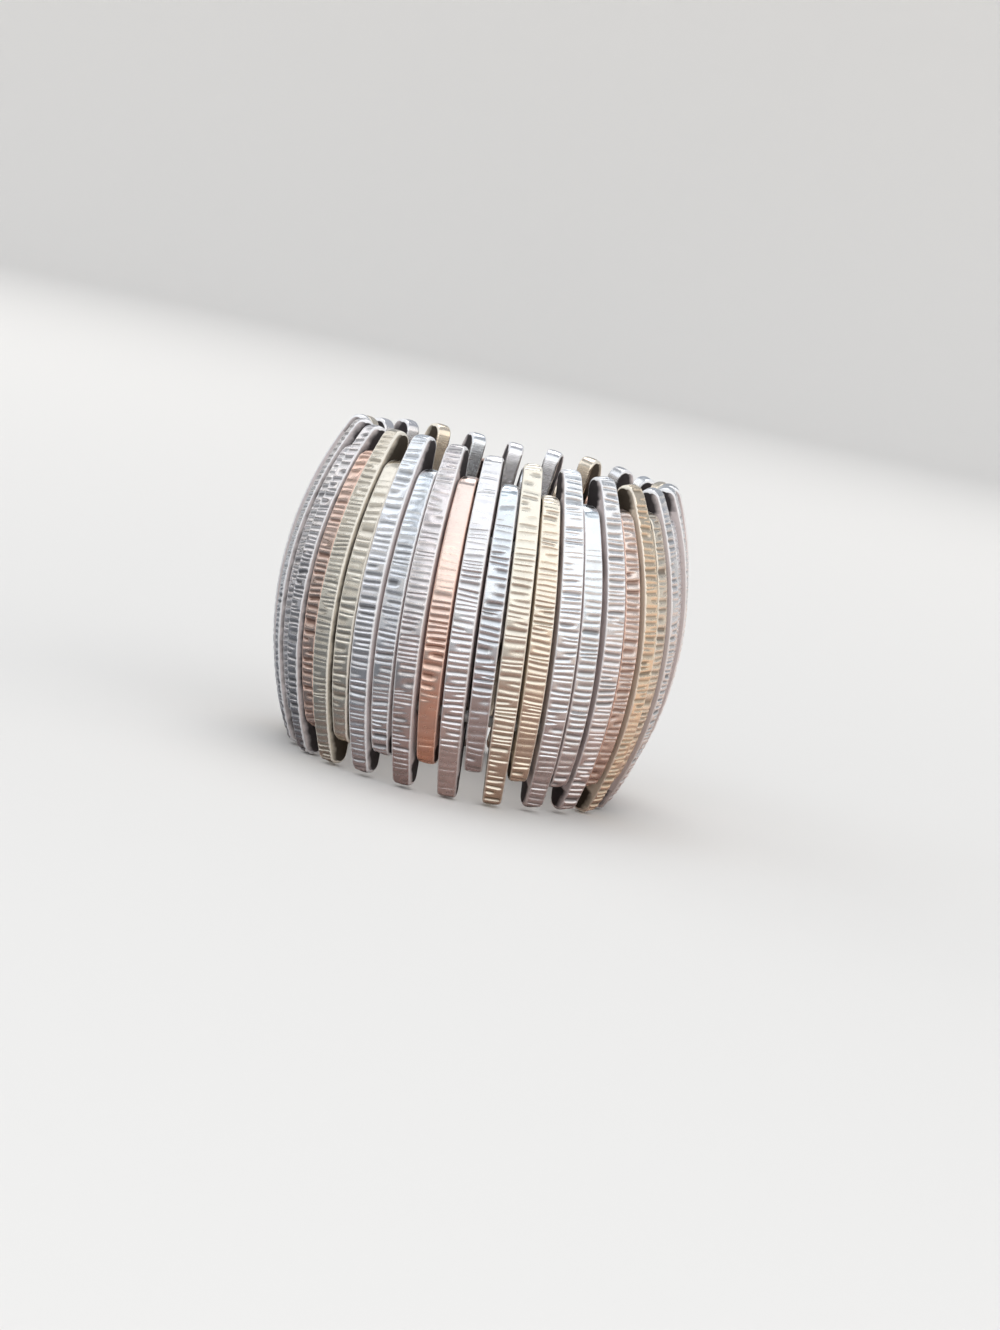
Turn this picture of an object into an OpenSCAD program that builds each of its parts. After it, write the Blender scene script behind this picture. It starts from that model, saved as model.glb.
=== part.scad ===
// Stretch ring: long and short metal bars stand side by side around the finger,
// threaded on two loops of elastic cord. The ring rests on the long bars' lower tips.

/* [Ring] */
// Number of bars around the ring, long and short by turns
bar_count = 50; // [48, 50]
// Diameter across the bulge of the long bars
ring_d = 26.6; // [26.5:0.1:28]
// Diameter of the hole for the finger
hole_d = 18.9; // [18.7:0.1:19]

/* [Bars] */
// Length of a long bar along the finger
long_h = 21.4; // [19.5:0.1:22]
// Length of a short bar along the finger
short_h = 18; // [15:0.1:19]
// How far the short bars' outer edges lie inside the long bars' edges
short_inset = 0.2; // [0:0.05:0.4]
// Radius of the bulged outer edge, in side view
bulge_r = 23; // [20:0.5:26]
// Thickness of a long bar at its outer edge
long_outer_w = 1.44; // [1.2:0.02:1.44]
// Thickness of a long bar at its inner edge
long_inner_w = 1.04; // [0.9:0.02:1.04]
// Thickness of a short bar at its outer edge
short_outer_w = 1.4; // [1.2:0.02:1.4]
// Thickness of a short bar at its inner edge
short_inner_w = 0.84; // [0.8:0.02:0.84]

/* [Elastic] */
// Diameter of the elastic cord
cord_d = 0.7; // [0.5:0.1:0.8]
// Diameter of the holes drilled through the bars
drill_d = 1.5; // [1.4:0.1:1.5]
// Distance of the holes from the bars' inner edges
drill_in = 1.6; // [1.5:0.1:1.7]
// Distance of each loop of elastic from the middle of the bars
loop_rise = 5.4; // [4:0.1:6]

/* [Fall of the bars] */
// Mean slant of the bars along the ring's edge, in degrees
slant_mean = 4.5; // [0:0.5:5]
// Change of that slant around the ring
slant_swing = 4.5; // [0:0.5:4.5]
// Mean turn of the bars' faces from the ring's centre, in degrees
lean_mean = 2.5; // [0:0.5:3]
// Change of that turn around the ring
lean_swing = 5; // [0:0.5:5]
// How unevenly the bars stand along the finger
uneven = 0.24; // [0:0.02:0.24]

/* [Hidden] */
front = -90;
inner_r = hole_d / 2;
long_r = ring_d / 2;
short_r = long_r - short_inset;
drill_r = inner_r + drill_in;
step = 360 / bar_count;
lean_waves = 3;
lean_phase = 50;
scatter_turn = 137.5;
past = 1;
round_fn = 96;

silver = "silver";
gold = "#d8bf8c";
copper = "#c98a6a";
rubber = "#dcdcd8";

// Metals of the bars in the order in which they come round
finishes = [
  "copper", "gold", "gold", "silver", "silver", "silver", "copper",
  "silver", "silver", "gold", "gold", "silver", "silver", "silver"
];
finish_start = 11;

function is_long(k) = k % 2 == 0;
function finish(k) = finishes[(k + finish_start) % len(finishes)];
function metal(k) = finish(k) == "copper" ? copper : finish(k) == "gold" ? gold : silver;

// Direction of a bar from the ring's front, in degrees, and the fall that follows from it
first_bar = -74.5;
function from_front(k) = first_bar + k * step;
function slant(k) = slant_mean + slant_swing * sin(from_front(k));
function rise(k) = uneven * (1 + sin(k * scatter_turn)) / 2;
function lean(k) = lean_mean + lean_swing * sin(lean_waves * from_front(k) + lean_phase);

// Radius of a tip that is tangent to the inner edge, to the end and to the bulge
function tip_r(h, r) =
  let(
    run = inner_r - (r - bulge_r),
    half = h / 2,
    b = run - half + bulge_r,
    c = run * run + half * half - bulge_r * bulge_r
  ) sqrt(b * b - c) - b;

// Thickness of a bar at a distance from the ring's axis
function thickness(x, inner_w, outer_w) =
  inner_w + (outer_w - inner_w) * (x - inner_r) / (long_r - inner_r);

// Height of a bar's middle above the floor, on which a long bar with no rise stands
tip_w = thickness(inner_r + tip_r(long_h, long_r), long_inner_w, long_outer_w);
function seat(k) = long_h / 2 * cos(slant(k)) + tip_w / 2 * abs(sin(slant(k))) + rise(k);
seats = [for (k = [0:bar_count - 1]) seat(k)];
loop_mid = (min(seats) + max(seats)) / 2;

// A name such as long_bar_07
function two_digits(n) = n < 10 ? str("0", n) : str(n);
function bar_name(k) = str(is_long(k) ? "long_bar_" : "short_bar_", two_digits(floor(k / 2) + 1));

// A bar seen from the side, with its length along Y and its distance from the ring's axis along X
module side_view(h, r) {
  tip = tip_r(h, r);
  centre_x = inner_r + tip;
  centre_y = h / 2 - tip;
  turn = atan2(centre_y, centre_x - (r - bulge_r));
  reach = long_h;
  intersection() {
    translate([r - bulge_r, 0]) circle(r = bulge_r, $fn = round_fn);
    union() {
      translate([inner_r, -centre_y]) square([r + past - inner_r, 2 * centre_y]);
      for (side = [-1, 1]) scale([1, side])
        polygon([
          [centre_x, centre_y - past],
          [centre_x + reach, centre_y - past],
          [centre_x + reach * cos(turn), centre_y + reach * sin(turn)],
          [centre_x, centre_y]
        ]);
      for (side = [-1, 1]) translate([centre_x, side * centre_y]) circle(r = tip, $fn = round_fn);
    }
  }
}

// A bar seen from its end: thinner towards the finger
module end_view(inner_w, outer_w) {
  near = inner_r - past;
  far = long_r + past;
  near_y = thickness(near, inner_w, outer_w) / 2;
  far_y = thickness(far, inner_w, outer_w) / 2;
  polygon([[near, -near_y], [far, -far_y], [far, far_y], [near, near_y]]);
}

// One bar in its own frame, with its middle at height 0
module plain_bar(h, r, inner_w, outer_w) {
  difference() {
    intersection() {
      rotate([90, 0, 0]) linear_extrude(outer_w + 2 * past, center = true) side_view(h, r);
      linear_extrude(h + 2 * past, center = true) end_view(inner_w, outer_w);
    }
    for (side = [-1, 1]) translate([drill_r, 0, side * loop_rise])
      rotate([90, 0, 0]) cylinder(d = drill_d, h = outer_w + 2 * past, center = true, $fn = round_fn);
  }
}

// A bar in its place on the ring
module bar(k) {
  color(metal(k))
    translate([0, 0, seat(k)])
    rotate([0, 0, front + from_front(k)])
    rotate([slant(k), 0, 0])
    translate([drill_r, 0, 0]) rotate([0, 0, -lean(k)]) translate([-drill_r, 0, 0])
    if (is_long(k)) plain_bar(long_h, long_r, long_inner_w, long_outer_w);
    else plain_bar(short_h, short_r, short_inner_w, short_outer_w);
}

// A loop of elastic through one row of holes
module elastic(side) {
  color(rubber)
    translate([0, 0, loop_mid + side * loop_rise])
    rotate_extrude($fn = round_fn) translate([drill_r, 0]) circle(d = cord_d, $fn = round_fn);
}

for (k = [0:bar_count - 1]) bar(k);
elastic(1);  // elastic_upper
elastic(-1);  // elastic_lower
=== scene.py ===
# Looks of the stretch ring: every bar is remade with its reeded outer face, rounded
# edges and drilled holes, in the space of its CAD solid. Sizes are in mm, as in the CAD.
import math

import bpy
import numpy as np
from mathutils import Matrix, Vector
from mathutils.geometry import tessellate_polygon


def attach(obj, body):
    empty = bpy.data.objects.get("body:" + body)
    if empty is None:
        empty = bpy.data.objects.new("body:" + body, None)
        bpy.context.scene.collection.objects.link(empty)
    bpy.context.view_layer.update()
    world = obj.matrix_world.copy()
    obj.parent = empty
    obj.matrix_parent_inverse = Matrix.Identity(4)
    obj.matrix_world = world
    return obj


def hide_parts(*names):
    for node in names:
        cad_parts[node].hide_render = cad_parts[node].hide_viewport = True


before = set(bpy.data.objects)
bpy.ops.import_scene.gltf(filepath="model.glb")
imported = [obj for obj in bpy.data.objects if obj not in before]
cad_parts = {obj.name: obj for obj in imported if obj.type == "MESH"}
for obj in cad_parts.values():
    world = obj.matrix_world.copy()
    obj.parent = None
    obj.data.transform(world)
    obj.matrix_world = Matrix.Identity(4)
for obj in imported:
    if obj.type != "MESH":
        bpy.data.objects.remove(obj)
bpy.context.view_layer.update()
MM = 0.001

# The ring's sizes and the fall of its bars, as in the CAD
BAR_COUNT = 50
STEP = 360 / BAR_COUNT
INNER_R = 9.45
LONG_R = 13.3
SHORT_R = 13.1
LONG_H = 21.4
SHORT_H = 18.0
BULGE_R = 23.0
LONG_OUTER_W = 1.44
LONG_INNER_W = 1.04
SHORT_OUTER_W = 1.4
SHORT_INNER_W = 0.84
DRILL_R = 11.05
HOLE_R = 0.75
LOOP_RISE = 5.4
FRONT = -90.0
FIRST_BAR = -74.5
SLANT_MEAN = 4.5
SLANT_SWING = 4.5
LEAN_MEAN = 2.5
LEAN_SWING = 5.0
LEAN_WAVES = 3
LEAN_PHASE = 50.0
UNEVEN = 0.24
SCATTER_TURN = 137.5
FINISHES = (
    "copper", "gold", "gold", "silver", "silver", "silver", "copper",
    "silver", "silver", "gold", "gold", "silver", "silver", "silver",
)
FINISH_START = 11

# Slowly changing random values: their usual size and their limit
DRIFT_SIZE = 0.6
DRIFT_LIMIT = 1.3

# The reeding: grooves across each outer face, with the usual distance from one to the next, by how much
# it differs from bar to bar and from groove to groove, and its gain towards the tips
PITCH = 0.375
PITCH_BY_BAR = (0.93, 1.1)
PITCH_SPREAD = 0.30
PITCH_LIMITS = (0.55, 1.7)
TIP_PITCH_GAIN = 0.35
TIP_POWER = 4
# Grooves are added until less than this share of a pitch is left
LAST_GROOVE = 0.6
# Some bars have coarser or finer grooves
PITCHES = {
    4: 0.31, 5: 0.40, 7: 0.37, 8: 0.35, 9: 0.42, 10: 0.33, 11: 0.40, 12: 0.35, 14: 0.34, 16: 0.34,
}
# Some grooves away from the tips are broad: how many, how broad, and how near to a tip they go
BROAD_CHANCE = 0.06
BROAD_GAIN = 1.5
BROAD_REACH = 0.3
# The depth of the grooves, what chance makes of it, and its slow drift along a bar
DEPTH = 0.080
DEPTH_BY_CHANCE = (0.55, 1.2)
DEPTH_DRIFT = 0.35
DEPTH_DRIFT_REACH = 4
DEPTH_DRIFT_LIMITS = (0.3, 1.3)
# The grooves are deeper towards the lower tips: share of the length, share of the depth
DEPTH_ALONG = ((-1.0, -0.5, 0.0, 0.3, 0.6, 1.0), (1.5, 1.3, 1.05, 0.88, 0.76, 0.68))
# Some bars have shallower or deeper grooves
DEPTHS = {
    0: 1.2, 1: 1.3, 2: 1.5, 3: 1.5, 4: 1.05, 5: 0.85, 6: 1.1, 7: 1.1, 8: 1.05, 9: 1.2, 11: 1.35,
    12: 1.0, 13: 1.1, 14: 1.12, 15: 1.15, 16: 1.35, 17: 1.9, 18: 1.4, 19: 1.35, 20: 1.5,
}
# The grooves are not quite square to the bars: how far the right end of one lies above its middle, by
# the bar's place round the ring, by drift and by chance, and how far its middle is bent up or down
TILT_SWING = -0.085
TILT_DRIFT = 0.03
TILT_DRIFT_REACH = 3
TILT_SPREAD = 0.020
BEND_SPREAD = 0.018
# Where across the face a bent groove crosses its unbent line, squared
BEND_CROSSING = 0.4
# Places across a face go from -1 to 1. Most grooves run right across it, some end short of an edge:
# an end past the edge, how many end short, where they end, and how long they take to run out
FULL_END = 1.4
SHORT_CHANCE = 0.16
SHORT_ENDS = (-0.3, 0.8)
RUN_OUT = 0.35
# The ridges between the grooves are not all equally high
RIDGE_DROP = 0.014
# Shallow unevenness of the faces: its depth and limit, what is left of it at the rims, how many waves
# make it, how close they follow along and across the face, and what their sum is divided by
HAMMER = 0.010
HAMMER_LIMIT = 1.4
HAMMER_AT_RIMS = 0.35
HAMMER_WAVES = 7
HAMMER_ALONG = (0.5, 3.2)
HAMMER_ACROSS = 1.6
HAMMER_SUM = 9
# How much lower the rims lie than the middle of a face
CROWN = 0.025
# A groove's side from ridge to bottom: shares of the way and of the depth
ROW_PARTS = ((0.0, 0.0), (0.32, 0.14), (0.68, 0.55), (1.0, 1.0))
# Where between two ridges a groove is deepest, so that its side towards the bar's middle is the wide one
DEEPEST_MEAN = 0.52
DEEPEST_SWING = 0.13
DEEPEST_SPREAD = 0.09
# The rounded edges of the outer face: their width at the left and on the other bars, the bars between
# which it changes, their depth, and how quickly both set in at the tips
EDGE_WIDTHS = (0.13, 0.10)
EDGE_BARS = (5, 9)
EDGE_D = 0.11
FRONT_REACH = 1.5
# The rounding of the inner edge, the extra rounding at the tips and how far that goes along the outline
INNER_EDGE = 0.12
TIP_EDGE = 0.16
TIP_EDGE_REACH = 1.1
# How much the rounding varies, and at how many places along a bar's outline that is set
EDGE_DRIFT = 0.16
EDGE_DRIFT_PLACES = 60
EDGE_DRIFT_REACH = 2
# How far round the tips the pale rims go on, whose paleness is partly wear and partly a painted highlight
RIM_REACH = 3.0
# The columns of a bar's skin: turns round an edge in degrees and places across the face, and how much of
# a groove's depth reaches each
EDGE_TURNS = (90, 62, 30)
EDGE_MASK = (0.0, 0.06, 0.28)
FLAT_PLACES = (-1.0, -0.86, -0.66, -0.36, 0.0, 0.36, 0.66, 0.86, 1.0)
FLAT_MASK = (0.62, 0.93, 1.0, 1.0, 1.0, 1.0, 1.0, 0.93, 0.62)
TIP_ROWS = 9
INNER_ROWS = 14
HOLE_SIDES = 28
SEED = 4100
# How far apart the bars lie in the space that their stains, strokes and grain are drawn from
OWN_SPACE = 7.0

# Stretches of a face that are nearly smooth: bar, from, to (1 is the upper tip), share of the depth
WORN = (
    (9, 0.22, 1.1, 0.16),
    (9, -1.1, -0.42, 0.40),
    (7, 0.58, 1.1, 0.30),
    (15, 0.34, 1.1, 0.40),
    (11, -1.1, -0.42, 0.50),
    (11, 0.60, 1.1, 0.60),
    (10, -1.1, -0.66, 0.45),
    (8, -1.1, -0.74, 0.50),
    (5, 0.66, 1.1, 0.40),
)
# How warm a bar's metal is, from -1, bluish, to 1, rosy, at its lower tip, middle and upper tip,
# where it isn't left to chance
TONES = {
    3: (-0.1, -0.6, 0.3),
    4: (-1.0, -1.0, -0.8),
    5: (-0.8, -1.0, -1.0),
    6: (-0.3, 0.1, -0.5),
    7: (0.0, -0.1, -0.7),
    8: (1.0, 0.8, 1.0),
    9: (1.0, -0.1, -0.6),
    10: (1.0, 0.2, 0.2),
    11: (0.6, -0.5, -0.9),
    12: (-0.1, -1.0, -0.8),
    13: (0.0, -0.3, -0.5),
    14: (0.3, -0.5, -0.5),
    15: (0.4, -0.8, -1.0),
    16: (0.9, 0.1, -0.3),
    17: (-0.5, -1.0, -1.0),
    18: (0.9, 0.9, 0.7),
    19: (1.0, -0.4, -1.0),
}
# Painted dark reflections: how much darker some bars are made at the lower tip, the middle and the upper
# tip, standing in for dark surroundings mirrored by the metal
PAINTED_DARK_REFLECTIONS = {
    0: (0.3, 0.2, 0.1),
    1: (0.3, 0.2, 0.0),
    2: (0.5, 0.45, 0.15),
    3: (0.25, 0.45, 0.0),
    4: (0.0, 0.0, 0.25),
    5: (0.0, 0.0, 0.22),
    8: (0.35, 0.0, 0.1),
    11: (0.35, 0.15, 0.0),
    17: (0.5, 0.1, 0.0),
}
# No painted dark reflection
NO_DARK_REFLECTION = (0.0, 0.0, 0.0)
# How warm or cool chance may make the other bars
TONE_BY_CHANCE = 0.5
# How scuffed the rims are at the lower tip, the middle and the upper tip, and the first and last bar
# between which they change from fully scuffed to this
SCUFF_ALONG = (0.1, 0.3, 0.8)
SCUFF_BARS = (6, 10)
# Where a bar's neighbours cover its flat sides, the painted shade on these sets in deeper down: the shares
# of its length at which that ends and is full, and the bars between which it sets in
COVERED = (0.84, 0.68)
COVERED_BARS = (5, 9)


def is_long(k):
    return k % 2 == 0


def from_front(k):
    return FIRST_BAR + k * STEP


def sin_deg(a):
    return math.sin(math.radians(a))


def slant(k):
    return SLANT_MEAN + SLANT_SWING * sin_deg(from_front(k))


def lean(k):
    return LEAN_MEAN + LEAN_SWING * sin_deg(LEAN_WAVES * from_front(k) + LEAN_PHASE)


def rise(k):
    return UNEVEN * (1 + sin_deg(k * SCATTER_TURN)) / 2


def tip_radius(h, r):
    run = INNER_R - (r - BULGE_R)
    b = run - h / 2 + BULGE_R
    c = run * run + h * h / 4 - BULGE_R * BULGE_R
    return math.sqrt(b * b - c) - b


def thickness(x, inner_w, outer_w):
    return inner_w + (outer_w - inner_w) * (x - INNER_R) / (LONG_R - INNER_R)


def seat(k):
    tip_w = thickness(INNER_R + tip_radius(LONG_H, LONG_R), LONG_INNER_W, LONG_OUTER_W)
    s = math.radians(slant(k))
    return LONG_H / 2 * math.cos(s) + tip_w / 2 * abs(math.sin(s)) + rise(k)


def bar_name(k):
    return f"{'long' if is_long(k) else 'short'}_bar_{k // 2 + 1:02d}"


def smooth_random(rng, count, reach):
    """Random values that change slowly along a row, about -1 to 1."""
    raw = rng.normal(size=count + 2 * reach)
    kernel = np.hanning(2 * reach + 1)
    kernel /= np.sqrt((kernel**2).sum())
    return np.clip(np.convolve(raw, kernel, "valid")[:count] * DRIFT_SIZE, -DRIFT_LIMIT, DRIFT_LIMIT)


class Outline:
    """A bar's closed outline in side view. Distances along it start at the middle of the outer edge."""

    def __init__(self, h, r):
        self.r = r
        self.tip = tip_radius(h, r)
        self.cx = INNER_R + self.tip
        self.cz = h / 2 - self.tip
        self.turn = math.atan2(self.cz, self.cx - (r - BULGE_R))
        self.front = BULGE_R * self.turn
        self.grooved = self.front + self.tip * (math.pi / 2 - self.turn)
        self.back = self.front + self.tip * (math.pi - self.turn)
        self.half = self.back + self.cz

    def at(self, s):
        """x, z and the outward normal at the distances s."""
        side = np.where(s < 0, -1.0, 1.0)
        a = np.abs(s)
        bulged = a < self.front
        bulge = a / BULGE_R
        tip = self.turn + (a - self.front) / self.tip
        nx = np.where(bulged, np.cos(bulge), np.cos(tip))
        nz = np.where(bulged, np.sin(bulge), np.sin(tip))
        x = np.where(bulged, self.r - BULGE_R + BULGE_R * nx, self.cx + self.tip * nx)
        z = np.where(bulged, BULGE_R * nz, self.cz + self.tip * nz)
        inner = a > self.back
        x = np.where(inner, INNER_R, x)
        z = np.where(inner, self.cz - (a - self.back), z)
        nx = np.where(inner, -1.0, nx)
        nz = np.where(inner, 0.0, nz)
        return x, z * side, nx, nz * side


def worn(k, share):
    """How deep the grooves are cut at a share of the bar's length, from 0 to 1."""
    depth = 1.0
    for bar, low, high, keep in WORN:
        if bar == k and low <= share <= high:
            depth = min(depth, keep)
    return depth


def groove_rows(k, outline, rng):
    """The rows of the outer face, and the grooves that they follow."""
    reach = outline.grooved
    pitch = PITCHES.get(k, PITCH * rng.uniform(*PITCH_BY_BAR))
    ridges = [-reach]
    while ridges[-1] < reach - pitch * LAST_GROOVE:
        near_tip = (abs(ridges[-1]) / reach) ** TIP_POWER
        jitter = float(np.clip(1 + PITCH_SPREAD * rng.normal(), *PITCH_LIMITS))
        if rng.uniform() < BROAD_CHANCE and near_tip < BROAD_REACH:
            jitter *= BROAD_GAIN
        ridges.append(ridges[-1] + pitch * jitter * (1 + TIP_PITCH_GAIN * near_tip))
    ridges = np.array(ridges)
    ridges = -reach + (ridges + reach) * 2 * reach / (ridges[-1] + reach)
    count = len(ridges) - 1
    widths = np.diff(ridges)
    deepest = DEEPEST_MEAN + DEEPEST_SWING * (ridges[:-1] + widths / 2) / reach
    centres = ridges[:-1] + widths * (deepest + DEEPEST_SPREAD * rng.uniform(-1, 1, count))
    depths = DEPTH * rng.uniform(*DEPTH_BY_CHANCE, count) * np.sqrt(widths / PITCH)
    depths *= np.interp(centres / reach, *DEPTH_ALONG) * DEPTHS.get(k, 1.0)
    drift = 1 + DEPTH_DRIFT * smooth_random(rng, count, DEPTH_DRIFT_REACH)
    depths *= np.clip(drift, *DEPTH_DRIFT_LIMITS)
    depths *= np.array([worn(k, c / reach) for c in centres])
    tilt = TILT_DRIFT * smooth_random(rng, count, TILT_DRIFT_REACH) + TILT_SPREAD * rng.normal(size=count)
    tilt += TILT_SWING * sin_deg(from_front(k))
    bend = BEND_SPREAD * rng.normal(size=count)
    ends = np.full((count, 2), FULL_END)
    cut = rng.uniform(size=count)
    for side, short in enumerate((cut < SHORT_CHANCE, cut > 1 - SHORT_CHANCE)):
        ends[short, side] = rng.uniform(*SHORT_ENDS, short.sum())
    drops = RIDGE_DROP * rng.uniform(0, 1, count + 1)
    rows = []
    for i in range(count):
        for part, depth in ROW_PARTS[:-1]:
            rows.append((ridges[i] + part * (centres[i] - ridges[i]), i, depth))
        for part, depth in ROW_PARTS[:0:-1]:
            rows.append((ridges[i + 1] - part * (ridges[i + 1] - centres[i]), i, depth))
    rows.append((ridges[-1], count - 1, 0.0))
    s = np.array([row[0] for row in rows])
    index = np.array([row[1] for row in rows])
    share = np.array([row[2] for row in rows])
    return {
        "s": s,
        "depth": share * depths[index],
        "ends": ends[index],
        "tilt": np.interp(s, centres, tilt),
        "bend": np.interp(s, centres, bend),
        "drop": np.interp(s, ridges, drops),
    }


def hammer(rng, s, t):
    """Shallow unevenness of a face, from 0 to about 1."""
    total = np.zeros(np.broadcast(s, t).shape)
    for _ in range(HAMMER_WAVES):
        along = rng.uniform(*HAMMER_ALONG)
        across = rng.uniform(-HAMMER_ACROSS, HAMMER_ACROSS)
        total += np.sin(along * s + across * t + rng.uniform(0, 2 * math.pi))
    return 0.5 + total / HAMMER_SUM


def bar_points(k, rng):
    """The skin of a bar in its own frame: points by row and column, and what the metal is like at each."""
    outline = Outline(LONG_H, LONG_R) if is_long(k) else Outline(SHORT_H, SHORT_R)
    inner_w = LONG_INNER_W if is_long(k) else SHORT_INNER_W
    outer_w = LONG_OUTER_W if is_long(k) else SHORT_OUTER_W
    rows = groove_rows(k, outline, rng)
    tip_s = np.linspace(outline.grooved, outline.back, TIP_ROWS + 1)[1:]
    inner_s = np.linspace(outline.back, outline.half, INNER_ROWS + 1)[1:]
    upper = np.concatenate([tip_s, inner_s])
    lower = -upper[:-1][::-1]
    s = np.concatenate([lower, rows["s"], upper])
    low, high = len(lower), len(upper)

    def spread(values, plain=0.0):
        return np.concatenate([np.full(low, plain), values, np.full(high, plain)])

    depth = spread(rows["depth"])
    tilt = spread(rows["tilt"])
    bend = spread(rows["bend"])
    drop = np.interp(s, rows["s"], rows["drop"])
    left = spread(rows["ends"][:, 0], FULL_END)
    right = spread(rows["ends"][:, 1], FULL_END)
    fade = np.clip((outline.back - np.abs(s)) / (outline.back - outline.front), 0, 1)
    fade_shift = np.clip((outline.grooved - np.abs(s)) / PITCH, 0, 1)

    # Columns: how far each lies across the face, round the edge, and how deep grooves run there
    edge = list(zip(EDGE_TURNS, EDGE_MASK))
    columns = [(-1.0, turn, mask) for turn, mask in edge]
    columns += [(t, 0, mask) for t, mask in zip(FLAT_PLACES, FLAT_MASK)]
    columns += [(1.0, turn, mask) for turn, mask in reversed(edge)]
    t = np.array([c[0] for c in columns])[None, :]
    turn = np.radians([c[1] for c in columns])[None, :]
    mask = np.array([c[2] for c in columns])[None, :]

    drift_places = np.linspace(-outline.half, outline.half, EDGE_DRIFT_PLACES)
    drift = smooth_random(rng, EDGE_DRIFT_PLACES, EDGE_DRIFT_REACH)
    edge_drift = 1 + EDGE_DRIFT * np.interp(s, drift_places, drift)
    on_front = np.clip(fade * FRONT_REACH, 0, 1)
    on_tip = np.clip(1 - np.abs(np.abs(s) - outline.grooved) / TIP_EDGE_REACH, 0, 1) ** 2
    front_w = np.interp(k, EDGE_BARS, EDGE_WIDTHS)
    edge_w = ((INNER_EDGE + (front_w - INNER_EDGE) * on_front) * edge_drift + TIP_EDGE * on_tip)[:, None]
    edge_d = ((INNER_EDGE + (EDGE_D - INNER_EDGE) * on_front) * edge_drift + TIP_EDGE * on_tip)[:, None]
    shift = (tilt[:, None] * t + bend[:, None] * (t * t - BEND_CROSSING)) * fade_shift[:, None]
    place = s[:, None] + shift
    x, z, nx, nz = outline.at(place)
    span = np.clip((left[:, None] + t) / RUN_OUT + 1, 0, 1)
    span = span * np.clip((right[:, None] - t) / RUN_OUT + 1, 0, 1)
    groove = depth[:, None] * span * mask
    uneven = HAMMER * np.clip(hammer(rng, place, t), 0, HAMMER_LIMIT)
    uneven = uneven * (HAMMER_AT_RIMS + (1 - HAMMER_AT_RIMS) * mask) * fade[:, None]
    inset = groove + uneven + (drop * fade)[:, None] * mask
    inset = inset + CROWN * np.where(turn > 0, 1.0, t * t) * on_front[:, None]
    inset = inset + edge_d * (1 - np.cos(turn))
    px = x - nx * inset
    pz = z - nz * inset
    half_w = thickness(px, inner_w, outer_w) / 2
    flat_half = half_w - edge_w
    py = t * flat_half + np.sign(t) * (turn > 0) * edge_w * np.sin(turn)
    points = np.stack([px, py, pz], axis=2)
    rim = np.where(turn > 0, 1.0, 0.0) * np.clip(fade * RIM_REACH, 0, 1)[:, None]
    share = np.broadcast_to((s / outline.grooved)[:, None], px.shape)
    # What counts as a full groove there
    full = DEPTH * np.maximum(1, np.interp(s / outline.grooved, *DEPTH_ALONG))
    return points, {"groove": groove / full[:, None], "rim": rim, "share": share}, (inner_w, outer_w)


def hole_points(z_mid, widths):
    """The rims of a drilled hole on the lower-y and the upper-y side."""
    a = np.linspace(0, 2 * math.pi, HOLE_SIDES, endpoint=False)
    x = DRILL_R + HOLE_R * np.cos(a)
    z = z_mid + HOLE_R * np.sin(a)
    y = thickness(x, *widths) / 2
    return np.stack([x, -y, z], axis=1), np.stack([x, y, z], axis=1)


def place_bar(points, k):
    """Moves points from the bar's own frame to its place on the ring."""
    offset = Matrix.Translation(Vector((DRILL_R, 0, 0)))
    move = (
        Matrix.Translation(Vector((0, 0, seat(k))))
        @ Matrix.Rotation(math.radians(FRONT + from_front(k)), 4, "Z")
        @ Matrix.Rotation(math.radians(slant(k)), 4, "X")
        @ offset
        @ Matrix.Rotation(math.radians(-lean(k)), 4, "Z")
        @ offset.inverted()
    )
    m = np.array(move)
    return points @ m[:3, :3].T + m[:3, 3]


def side_faces(loop, holes, starts, facing):
    """Triangles of a flat side with its two holes. facing is -1 or 1, the side's direction along y."""
    rings = [loop] + holes
    order = []
    for ring, (start, jump) in zip(rings, starts):
        order += range(start, start + len(ring) * jump, jump)
    flat = np.concatenate(rings)
    tris = tessellate_polygon([[Vector((p[0], p[2], 0)) for p in ring] for ring in rings])
    faces = []
    for a, b, c in tris:
        u = flat[b] - flat[a]
        v = flat[c] - flat[a]
        if (u[2] * v[0] - u[0] * v[2]) * facing < 0:
            b, c = c, b
        faces.append((order[a], order[b], order[c]))
    return faces


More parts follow.
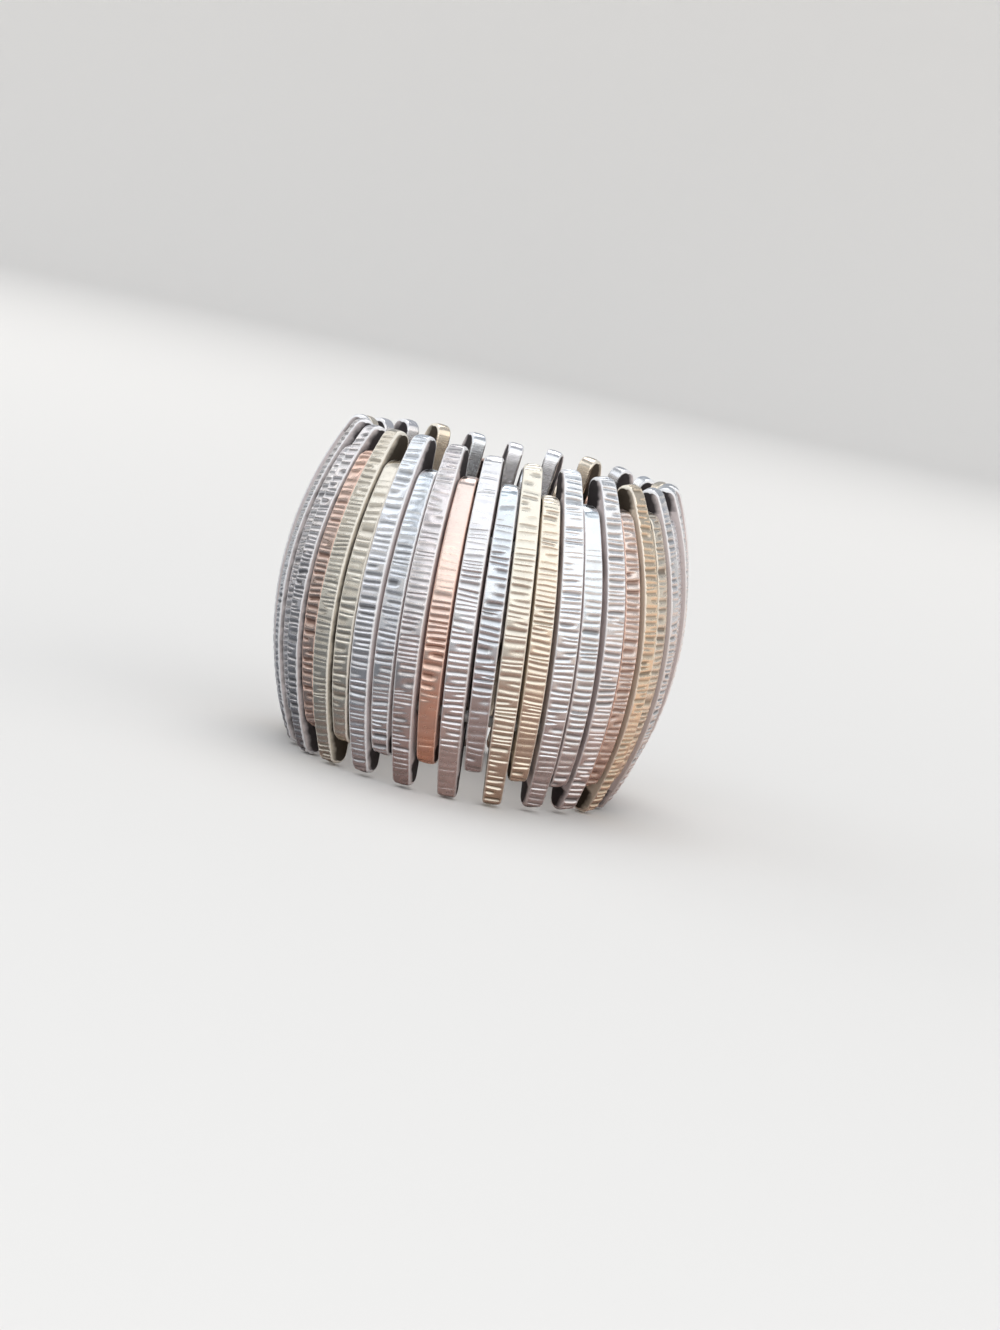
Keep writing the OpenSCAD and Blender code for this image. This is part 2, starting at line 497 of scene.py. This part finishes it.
def build_bar(k):
    rng = np.random.default_rng(SEED + k)
    points, marks, widths = bar_points(k, rng)
    count, wide = points.shape[:2]
    skin = points.reshape(-1, 3)
    lower = hole_points(-LOOP_RISE, widths)
    upper = hole_points(LOOP_RISE, widths)
    local = np.concatenate([skin, lower[0], lower[1], upper[0], upper[1]])
    base = count * wide
    faces = []
    for i in range(count):
        j = (i + 1) % count
        for c in range(wide - 1):
            faces.append((i * wide + c, i * wide + c + 1, j * wide + c + 1, j * wide + c))
    side_start = len(faces)
    for facing, column, near, far in ((-1, 0, 0, 2), (1, wide - 1, 1, 3)):
        starts = [(column, wide), (base + near * HOLE_SIDES, 1), (base + far * HOLE_SIDES, 1)]
        rims = [local[start:start + HOLE_SIDES] for start, _ in starts[1:]]
        faces += side_faces(points[:, column], rims, starts, facing)
    side_end = len(faces)
    for hole in (0, 2):
        near = base + hole * HOLE_SIDES
        far = near + HOLE_SIDES
        for i in range(HOLE_SIDES):
            j = (i + 1) % HOLE_SIDES
            faces.append((near + i, near + j, far + j, far + i))
    mesh = bpy.data.meshes.new("reeded_" + bar_name(k))
    mesh.from_pydata((place_bar(local, k) * MM).tolist(), [], faces)
    smooth = np.ones(len(faces), bool)
    smooth[side_start:side_end] = False
    mesh.polygons.foreach_set("use_smooth", smooth)
    side = np.zeros(len(faces), np.float32)
    side[side_start:] = 1.0
    mesh.attributes.new("side", "FLOAT", "FACE").data.foreach_set("value", side)
    tones = TONES.get(k, rng.uniform(-TONE_BY_CHANCE, TONE_BY_CHANCE, 3))
    share = marks.pop("share")
    marks["tone"] = np.interp(share, (-1, 0, 1), tones)
    # Painted dark reflection along the bar: darkening that stands for dark surroundings in the metal's
    # mirror
    marks["painted_dark_reflection"] = np.interp(share, (-1, 0, 1), PAINTED_DARK_REFLECTIONS.get(k, NO_DARK_REFLECTION))
    full_scuff = np.interp(k, SCUFF_BARS, (1, 0))
    marks["scuff"] = full_scuff + (1 - full_scuff) * np.interp(share, (-1, 0, 1), SCUFF_ALONG)
    # Where the neighbours cover the flat sides, the painted shade on them sets in deeper down
    covered = np.interp(k, COVERED_BARS, (0, 1))
    marks["covered"] = covered * np.interp(-np.abs(share), (-COVERED[0], -COVERED[1]), (0, 1))
    for name, values in marks.items():
        # The points round the holes lie in the middle of the flat sides
        marked = np.full(len(local), covered if name == "covered" else 0, np.float32)
        marked[:base] = np.clip(values.ravel(), -1, 1)
        mesh.attributes.new(name, "FLOAT", "POINT").data.foreach_set("value", marked)
    own = (local + np.array([0, OWN_SPACE * k, 0])).astype(np.float32)
    mesh.attributes.new("own_place", "FLOAT_VECTOR", "POINT").data.foreach_set("vector", own.ravel())
    mesh.update()
    piece = bpy.data.objects.new("reeded_" + bar_name(k), mesh)
    bpy.context.scene.collection.objects.link(piece)
    return piece


# Which sockets of a Mix node carry colours
MIX_INPUTS = (6, 7)
MIX_OUTPUT = 2


class Nodes:
    """Short calls for a material's nodes."""

    def __init__(self, name):
        self.material = bpy.data.materials.new(name)
        self.material.use_nodes = True
        self.tree = self.material.node_tree
        self.shader = self.tree.nodes["Principled BSDF"]

    def add(self, kind, **settings):
        node = self.tree.nodes.new(kind)
        for key, value in settings.items():
            setattr(node, key, value)
        return node

    def link(self, source, target):
        self.tree.links.new(source, target)

    def attribute(self, name):
        return self.add("ShaderNodeAttribute", attribute_name=name)

    def math(self, operation, a, b):
        node = self.add("ShaderNodeMath", operation=operation)
        for socket, value in zip(node.inputs, (a, b)):
            if isinstance(value, (int, float)):
                socket.default_value = value
            else:
                self.link(value, socket)
        return node.outputs[0]

    def ramp(self, source, low, high, to_low, to_high):
        node = self.add("ShaderNodeMapRange")
        self.link(source, node.inputs["Value"])
        node.inputs["From Min"].default_value = low
        node.inputs["From Max"].default_value = high
        node.inputs["To Min"].default_value = to_low
        node.inputs["To Max"].default_value = to_high
        return node.outputs["Result"]

    def mix(self, factor, a, b):
        node = self.add("ShaderNodeMix", data_type="RGBA")
        self.link(factor, node.inputs["Factor"])
        for place, value in zip(MIX_INPUTS, (a, b)):
            if isinstance(value, tuple):
                node.inputs[place].default_value = (*value, 1)
            else:
                self.link(value, node.inputs[place])
        return node.outputs[MIX_OUTPUT]

    def noise(self, vector, scale, detail, stretch=None):
        if stretch:
            mapping = self.add("ShaderNodeMapping")
            mapping.inputs["Scale"].default_value = stretch
            self.link(vector, mapping.inputs["Vector"])
            vector = mapping.outputs["Vector"]
        node = self.add("ShaderNodeTexNoise")
        node.inputs["Scale"].default_value = scale
        node.inputs["Detail"].default_value = detail
        self.link(vector, node.inputs["Vector"])
        return node.outputs["Fac"]

    def bump(self, height, strength, distance, under=None):
        node = self.add("ShaderNodeBump")
        node.inputs["Strength"].default_value = strength
        node.inputs["Distance"].default_value = distance
        self.link(height, node.inputs["Height"])
        if under:
            self.link(under, node.inputs["Normal"])
        return node.outputs["Normal"]


# The looks of the metals. Ramps are given as two values going in and the two that come out for them
TONE_RANGE = (-1, 1, 0, 1)
# Stains: how large they are and how strong
STAIN_SCALE = 0.8
STAINS = (0.38, 0.68, 0, 0.6)
# How much of its own colour a groove gets, and how quickly that sets in with its depth
GROOVE_POWER = 3.0
GROOVE_COLOUR = (0, 1, 0, 0.70)
# How far the rims go towards their pale colour, which is partly wear and partly a painted highlight
RIM_WEAR_AND_HIGHLIGHT = 0.75
# The flat sides have their own colour near the outer face and painted shade deeper down in the gaps
# between the bars: where the change begins and ends
GAP_SHADE_CHANGE = (0.18, 0.55)
# How much deeper down the painted shade sets in where the neighbours cover them, and how uneven it is
COVERED_DEPTH = 3.5
GAP_SHADE_SCALE = 1.6
GAP_SHADE_UNEVEN = (0.3, 0.7, -0.12, 0.12)
# The rims and the flat sides next to them are scuffed pale: how much less they mirror
SCUFF = 0.6
# Roughness of a face, and what is added in the grooves, on the rims and on the flat sides
FACE_SCALE = 3.5
FACE_ROUGH = (0.3, 0.7, 0.15, 0.28)
GROOVE_ROUGH = (0, 1, 0, 0.22)
RIM_ROUGH = 0.24
SIDE_ROUGH = (0, 1, 0.44, 0.20)
# Fine strokes along the grooves and a grain: scale, detail, strength and height in metres
STROKE_STRETCH = (2.0, 1.2, 16.0)
STROKES = (1.0, 4.0, 0.35, 0.000012)
GRAIN = (11.0, 3.0, 0.25, 0.000006)


def metal(name, cool, warm, stain, dark_reflection_colour, dirt, rim, shoulder, painted_gap_shade):
    """A plated metal. Its colours: bluish, rosy, stained, a painted dark reflection, in the grooves, on
    the rims, where it is partly wear and partly a painted highlight, and on the flat sides near the outer
    face and, as painted shade in the gaps, deeper down."""
    n = Nodes(name)
    own = n.attribute("own_place").outputs["Vector"]
    groove = n.attribute("groove").outputs["Fac"]
    on_rim = n.attribute("rim").outputs["Fac"]
    side = n.attribute("side").outputs["Fac"]
    covered = n.attribute("covered").outputs["Fac"]
    tone = n.ramp(n.attribute("tone").outputs["Fac"], *TONE_RANGE)
    colour = n.mix(tone, cool, warm)
    colour = n.mix(n.ramp(n.noise(own, STAIN_SCALE, detail=4.0), *STAINS), colour, stain)
    # Painted dark reflection: the colour is darkened as if the metal mirrored dark surroundings
    colour = n.mix(n.attribute("painted_dark_reflection").outputs["Fac"], colour, dark_reflection_colour)
    deep = n.ramp(n.math("POWER", groove, GROOVE_POWER), *GROOVE_COLOUR)
    colour = n.mix(deep, colour, dirt)
    # The rims: partly pale wear, partly a painted highlight
    colour = n.mix(n.math("MULTIPLY", on_rim, RIM_WEAR_AND_HIGHLIGHT), colour, rim)
    # How far a point lies inside the bulge of a long bar's outer edge
    across = n.add("ShaderNodeVectorMath", operation="MULTIPLY_ADD")
    n.link(own, across.inputs[0])
    across.inputs[1].default_value = (1, 0, 1)
    across.inputs[2].default_value = (BULGE_R - LONG_R, 0, 0)
    reach = n.add("ShaderNodeVectorMath", operation="LENGTH")
    n.link(across.outputs[0], reach.inputs[0])
    inwards = n.math("SUBTRACT", BULGE_R, reach.outputs["Value"])
    inwards = n.math("ADD", inwards, n.ramp(n.noise(own, GAP_SHADE_SCALE, detail=4.0), *GAP_SHADE_UNEVEN))
    inwards = n.math("SUBTRACT", inwards, n.math("MULTIPLY", covered, COVERED_DEPTH))
    # Painted shade in the gaps between the bars: the flat sides keep their own colour near the outer face
    # and go dark deeper down
    flat = n.mix(n.ramp(inwards, *GAP_SHADE_CHANGE, 0, 1), shoulder, painted_gap_shade)
    colour = n.mix(side, colour, flat)
    n.link(colour, n.shader.inputs["Base Color"])
    # The flat sides are scuffed near the outer face, over the depths at which their painted shade sets in
    scuffed = n.math("MULTIPLY", side, n.ramp(inwards, *GAP_SHADE_CHANGE, 1, 0))
    scuffed = n.math("MAXIMUM", scuffed, on_rim)
    scuffed = n.math("MULTIPLY", scuffed, n.attribute("scuff").outputs["Fac"])
    n.link(n.ramp(scuffed, 0, 1, 1, 1 - SCUFF), n.shader.inputs["Metallic"])
    rough = n.ramp(n.noise(own, FACE_SCALE, detail=5.0), *FACE_ROUGH)
    rough = n.math("ADD", rough, n.ramp(groove, *GROOVE_ROUGH))
    rough = n.math("ADD", rough, n.math("MULTIPLY", on_rim, RIM_ROUGH))
    rough = n.math("ADD", rough, n.math("MULTIPLY", side, n.ramp(covered, *SIDE_ROUGH)))
    n.link(rough, n.shader.inputs["Roughness"])
    normal = None
    for (scale, detail, strength, height), stretch in ((STROKES, STROKE_STRETCH), (GRAIN, None)):
        normal = n.bump(n.noise(own, scale, detail, stretch), strength, height, normal)
    n.link(normal, n.shader.inputs["Normal"])
    return n.material


# Each metal's stained colour is followed by a painted dark reflection. Its rim colour is partly wear and
# partly a painted highlight, and its last colour is painted shade for the gaps between the bars
METALS = {
    "silver": metal(
        "reeded_silver",
        cool=(0.78, 0.85, 0.91),
        warm=(0.86, 0.78, 0.77),
        stain=(0.66, 0.65, 0.64),
        dark_reflection_colour=(0.33, 0.31, 0.33),
        dirt=(0.10, 0.10, 0.105),
        rim=(0.93, 0.91, 0.91),
        shoulder=(0.75, 0.68, 0.67),
        painted_gap_shade=(0.07, 0.06, 0.062),
    ),
    "gold": metal(
        "reeded_gold",
        cool=(0.83, 0.78, 0.68),
        warm=(0.95, 0.77, 0.57),
        stain=(0.74, 0.67, 0.57),
        dark_reflection_colour=(0.40, 0.34, 0.26),
        dirt=(0.15, 0.12, 0.09),
        rim=(0.95, 0.89, 0.79),
        shoulder=(0.76, 0.68, 0.57),
        painted_gap_shade=(0.085, 0.066, 0.048),
    ),
    "copper": metal(
        "reeded_copper",
        cool=(0.86, 0.775, 0.735),
        warm=(0.97, 0.57, 0.40),
        stain=(0.74, 0.60, 0.54),
        dark_reflection_colour=(0.36, 0.24, 0.19),
        dirt=(0.24, 0.12, 0.08),
        rim=(0.95, 0.66, 0.54),
        shoulder=(0.72, 0.50, 0.43),
        painted_gap_shade=(0.09, 0.05, 0.04),
    ),
}


# The elastic: a cloudy grey, with fine strands. Its scales count per metre
CLOUD_SCALE = 900.0
CLOUD_COLOURS = ((0.46, 0.46, 0.45), (0.66, 0.66, 0.64))
CLOUD_ROUGH = (0.3, 0.7, 0.32, 0.5)
STRAND_SCALE = 2600.0
STRAND_STRENGTH = 0.3
STRAND_HEIGHT = 0.00003


def elastic_material():
    n = Nodes("clear_elastic")
    place = n.add("ShaderNodeTexCoord").outputs["Object"]
    cloudy = n.noise(place, CLOUD_SCALE, detail=3.0)
    n.link(n.mix(cloudy, *CLOUD_COLOURS), n.shader.inputs["Base Color"])
    n.link(n.ramp(cloudy, *CLOUD_ROUGH), n.shader.inputs["Roughness"])
    strands = n.noise(place, STRAND_SCALE, detail=2.0)
    n.link(n.bump(strands, STRAND_STRENGTH, STRAND_HEIGHT), n.shader.inputs["Normal"])
    return n.material


ELASTIC = elastic_material()
for loop in ("elastic_upper", "elastic_lower"):
    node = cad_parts[loop]
    for index in range(len(node.material_slots)):
        node.material_slots[index].material = ELASTIC

for k in range(BAR_COUNT):
    piece = build_bar(k)
    finish = FINISHES[(k + FINISH_START) % len(FINISHES)]
    piece.data.materials.append(METALS[finish])
    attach(piece, "root")
    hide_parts(bar_name(k))


# The floor sweeps up into a pale wall all round. In metres: the radius of its flat part, the rings of
# points on that as shares of it, the radius of the sweep and the height of the wall
FLOOR_FLAT = 0.9
FLOOR_RINGS = (0.25, 0.6)
FLOOR_SWEEP = 0.3
WALL_TOP = 0.32
FLOOR_TURNS = 96
SWEEP_PARTS = 16
FLOOR_COLOUR = (0.80, 0.775, 0.745)
DULL = 0.9


def round_points(radius, height):
    """A ring of points round the middle of the floor."""
    angles = [2 * math.pi * i / FLOOR_TURNS for i in range(FLOOR_TURNS)]
    return [(radius * math.cos(a), radius * math.sin(a), height) for a in angles]


def plain_finish(n):
    """Makes a material dull, with no gloss at all."""
    n.shader.inputs["Roughness"].default_value = DULL
    n.shader.inputs["Specular IOR Level"].default_value = 0.0


def build_floor():
    profile = [(0.0, 0.0)] + [(FLOOR_FLAT * share, 0.0) for share in FLOOR_RINGS]
    for i in range(SWEEP_PARTS + 1):
        a = math.pi / 2 * i / SWEEP_PARTS
        profile.append((FLOOR_FLAT + FLOOR_SWEEP * math.sin(a), FLOOR_SWEEP * (1 - math.cos(a))))
    profile.append((FLOOR_FLAT + FLOOR_SWEEP, WALL_TOP))
    points = [(0.0, 0.0, 0.0)]
    for r, z in profile[1:]:
        points += round_points(r, z)
    faces = [(0, 1 + i, 1 + (i + 1) % FLOOR_TURNS) for i in range(FLOOR_TURNS)]
    for ring in range(len(profile) - 2):
        start = 1 + ring * FLOOR_TURNS
        for i in range(FLOOR_TURNS):
            j = (i + 1) % FLOOR_TURNS
            faces.append((start + i, start + FLOOR_TURNS + i, start + FLOOR_TURNS + j, start + j))
    mesh = bpy.data.meshes.new("floor")
    mesh.from_pydata(points, [], faces)
    mesh.polygons.foreach_set("use_smooth", [True] * len(faces))
    n = Nodes("pale_floor")
    n.shader.inputs["Base Color"].default_value = (*FLOOR_COLOUR, 1)
    plain_finish(n)
    mesh.materials.append(n.material)
    floor = bpy.data.objects.new("floor", mesh)
    bpy.context.scene.collection.objects.link(floor)


build_floor()

# Dull cards that only reflections see: the metal mirrors them in place of the pale floor and wall.
# The one on the floor has colours for near the middle, far from it, the right, the left and far out on
# the left. They change over the distances named below, in metres
FLAG_UP = 0.2 * MM
FLAG_INNER_RADIUS = 8.5 * MM
FLAG_RADIUS = 0.30
FLAG_NEAR = (0.40, 0.29, 0.255)
FLAG_FAR = (0.56, 0.55, 0.545)
FLAG_RIGHT = (0.80, 0.64, 0.54)
FLAG_LEFT = (0.205, 0.21, 0.22)
FLAG_FAR_LEFT = (0.54, 0.54, 0.54)
FLAG_CHANGE = (0.024, 0.070)
FLAG_RIGHT_CHANGE = (0.010, 0.038)
FLAG_LEFT_CHANGE = (-0.005, -0.014)
FLAG_FAR_LEFT_CHANGE = (0.030, 0.058)
# The one that stands at the left: its corners and its colour
LEFT_CARD = ((-0.25, -0.05, 0), (-0.12, 0.28, 0), (-0.12, 0.28, 0.03), (-0.25, -0.05, 0.03))
LEFT_CARD_COLOUR = (0.22, 0.215, 0.21)


def build_flag(name, corners, faces, near, far, right, left, far_left):
    """A dull card. Its colour changes with the distance from the middle of the floor, from near to far,
    and to both sides. The left has a colour of its own further out."""
    mesh = bpy.data.meshes.new(name)
    mesh.from_pydata(corners, [], faces)
    n = Nodes(name)
    place = n.add("ShaderNodeTexCoord").outputs["Object"]
    reach = n.add("ShaderNodeVectorMath", operation="LENGTH")
    n.link(place, reach.inputs[0])
    axes = n.add("ShaderNodeSeparateXYZ")
    n.link(place, axes.inputs[0])
    outwards, sideways = reach.outputs["Value"], axes.outputs["X"]
    colour = n.mix(n.ramp(outwards, *FLAG_CHANGE, 0, 1), near, far)
    colour = n.mix(n.ramp(sideways, *FLAG_RIGHT_CHANGE, 0, 1), colour, right)
    left_side = n.mix(n.ramp(outwards, *FLAG_FAR_LEFT_CHANGE, 0, 1), left, far_left)
    colour = n.mix(n.ramp(sideways, *FLAG_LEFT_CHANGE, 0, 1), colour, left_side)
    n.link(colour, n.shader.inputs["Base Color"])
    plain_finish(n)
    mesh.materials.append(n.material)
    flag = bpy.data.objects.new(name, mesh)
    flag.visible_camera = False
    flag.visible_diffuse = False
    flag.visible_shadow = False
    flag.visible_transmission = False
    bpy.context.scene.collection.objects.link(flag)


rings = round_points(FLAG_INNER_RADIUS, FLAG_UP) + round_points(FLAG_RADIUS, FLAG_UP)
parts = []
for i in range(FLOOR_TURNS):
    j = (i + 1) % FLOOR_TURNS
    parts.append((i, FLOOR_TURNS + i, FLOOR_TURNS + j, j))
build_flag("floor_flag", rings, parts, FLAG_NEAR, FLAG_FAR, FLAG_RIGHT, FLAG_LEFT, FLAG_FAR_LEFT)
build_flag("left_flag", LEFT_CARD, [(0, 1, 2, 3)], *[LEFT_CARD_COLOUR] * 5)

# The middle of the ring, which the lights and the camera point at
CENTRE = Vector((0, 0, 10.8 * MM))
# Soft lights: name, azimuth from the front, elevation, distance, width, height, power, colour
LIGHTS = (
    ("front_softbox", 0, 31, 0.55, 0.95, 0.60, 1.55, (0.95, 0.98, 1.0)),
    ("left_softbox", -78, 34, 0.60, 0.36, 0.36, 0.42, (0.93, 0.96, 1.0)),
    ("back_left_softbox", -125, 28, 0.60, 0.30, 0.40, 0.34, (1.0, 0.99, 0.96)),
    ("right_softbox", 70, 28, 0.60, 0.60, 0.40, 0.64, (1.0, 0.96, 0.90)),
    ("top_softbox", 180, 72, 0.70, 0.50, 0.45, 1.5, (1.0, 1.0, 1.0)),
)
# Lamps that light the wall all round: their distance from the middle, height, length, width, power and
# colour, and the place on the sweep of the floor that they point at
WASHER_TURNS = (0, 90, 180, 270)
WASHER_OUT = 0.42
WASHER_UP = 0.62
WASHER_SIZE = (0.9, 0.15)
WASHER_POWER = 2.0
WASHER_COLOUR = (1.0, 0.99, 0.97)
WASHER_TARGET = (FLOOR_FLAT + FLOOR_SWEEP * 0.8, 0.1)
SKY_COLOUR = (0.86, 0.92, 1.0)
SKY_STRENGTH = 0.5


def add_light(name, place, way, size, power, colour):
    """An area light at place that shines against way."""
    light = bpy.data.lights.new(name, "AREA")
    light.shape = "RECTANGLE"
    light.size, light.size_y = size
    light.energy = power
    light.color = colour
    lamp = bpy.data.objects.new(name, light)
    lamp.location = place
    lamp.rotation_euler = way.to_track_quat("Z", "Y").to_euler()
    lamp.visible_camera = False
    bpy.context.scene.collection.objects.link(lamp)


def direction(azimuth, elevation):
    az, el = math.radians(azimuth), math.radians(elevation)
    return Vector((math.sin(az) * math.cos(el), -math.cos(az) * math.cos(el), math.sin(el)))


for name, azimuth, elevation, distance, width, height, power, colour in LIGHTS:
    way = direction(azimuth, elevation)
    add_light(name, CENTRE + way * distance, way, (width, height), power, colour)
for azimuth in WASHER_TURNS:
    place = direction(azimuth, 0) * WASHER_OUT + Vector((0, 0, WASHER_UP))
    target = direction(azimuth, 0) * WASHER_TARGET[0] + Vector((0, 0, WASHER_TARGET[1]))
    add_light(f"washer_{azimuth}", place, place - target, WASHER_SIZE, WASHER_POWER, WASHER_COLOUR)

world = bpy.data.worlds.new("soft_sky")
world.use_nodes = True
sky = world.node_tree.nodes["Background"]
sky.inputs["Color"].default_value = (*SKY_COLOUR, 1)
sky.inputs["Strength"].default_value = SKY_STRENGTH
bpy.context.scene.world = world
bpy.context.scene.view_settings.view_transform = "Standard"

# The camera, at the photograph's angle: elevation and roll in degrees, distances in metres, lens in mm
CAMERA_ELEVATION = 6.39
CAMERA_ROLL = 12.4
CAMERA_DISTANCE = 0.187
CAMERA_NEAREST = 0.01
CAMERA_LENS = 77.7
CAMERA_SENSOR = 36
CAMERA_SHIFT = (0.0144, -0.0415)

camera = bpy.data.cameras.new("camera")
camera.lens = CAMERA_LENS
camera.sensor_width = CAMERA_SENSOR
camera.shift_x, camera.shift_y = CAMERA_SHIFT
camera.clip_start = CAMERA_NEAREST
el, roll = math.radians(CAMERA_ELEVATION), math.radians(CAMERA_ROLL)
back = Vector((0, -math.cos(el), math.sin(el)))
plain_up = Vector((0, math.sin(el), math.cos(el)))
right = Vector((1, 0, 0)) * math.cos(roll) + plain_up * math.sin(roll)
up = plain_up * math.cos(roll) - Vector((1, 0, 0)) * math.sin(roll)
eye = bpy.data.objects.new("camera", camera)
turn = Matrix((right, up, back)).transposed().to_4x4()
eye.matrix_world = Matrix.Translation(CENTRE + back * CAMERA_DISTANCE) @ turn
bpy.context.scene.collection.objects.link(eye)
bpy.context.scene.camera = eye
